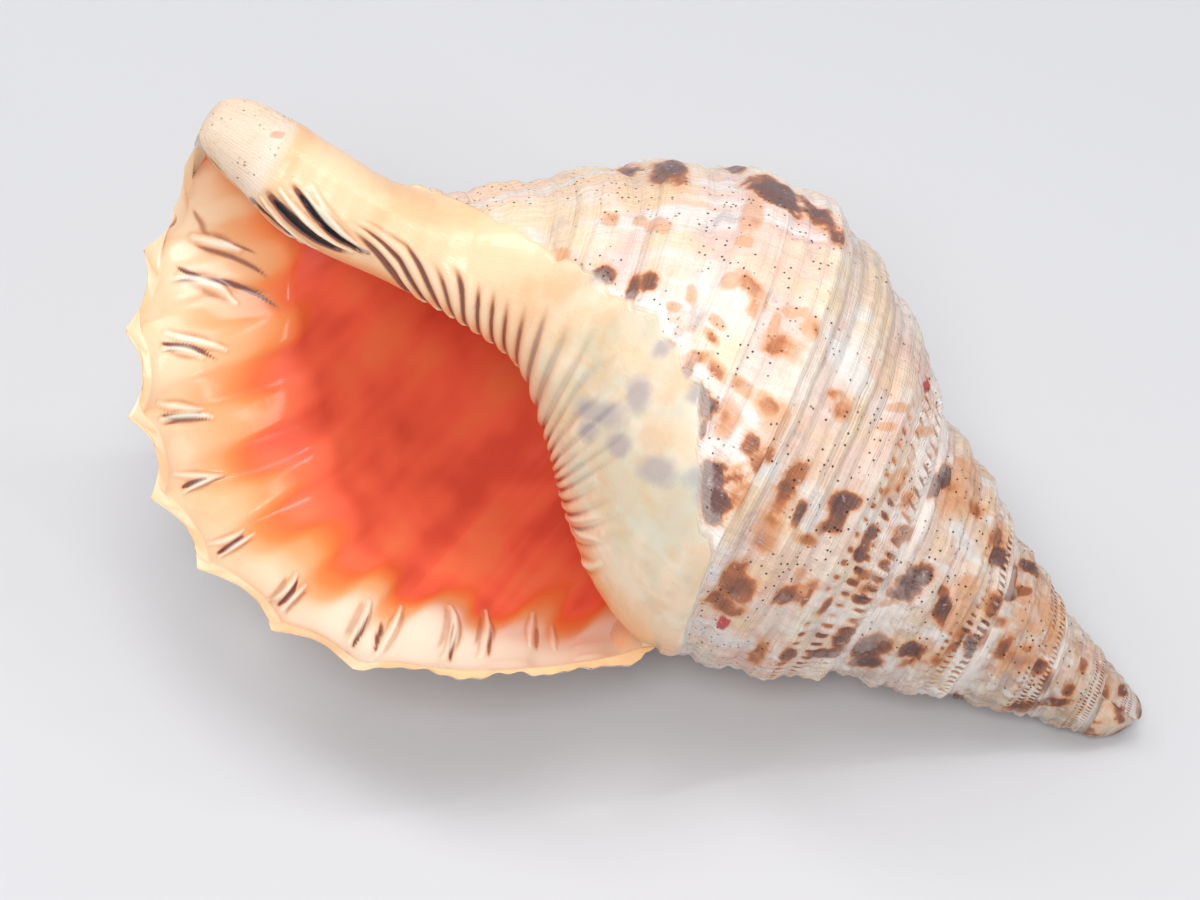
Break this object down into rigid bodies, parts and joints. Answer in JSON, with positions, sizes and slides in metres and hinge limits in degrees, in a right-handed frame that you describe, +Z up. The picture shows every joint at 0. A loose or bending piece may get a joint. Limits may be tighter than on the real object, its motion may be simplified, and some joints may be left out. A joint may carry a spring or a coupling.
{
  "type": "triton shell",
  "caption": "Large spiral sea shell with a tall pointed spire, a wide flared aperture with a spiny lip, and an open siphonal canal.",
  "frame": {"origin": "centre of the bounding box at the ground, where the shell rests on the back of its body whorl and its spire", "axes": "+X along the shell towards the tip of the spire, -X towards the siphonal canal, +Z up out of the aperture side, the flared lip towards -Y"},
  "size_m": [0.3178, 0.1928, 0.15],
  "materials": {
    "shell": "glossy cream with brown spots, red-orange inside"
  },
  "bodies": {
    "root": {"triton_shell": "shell"}
  },
  "joints": []
}
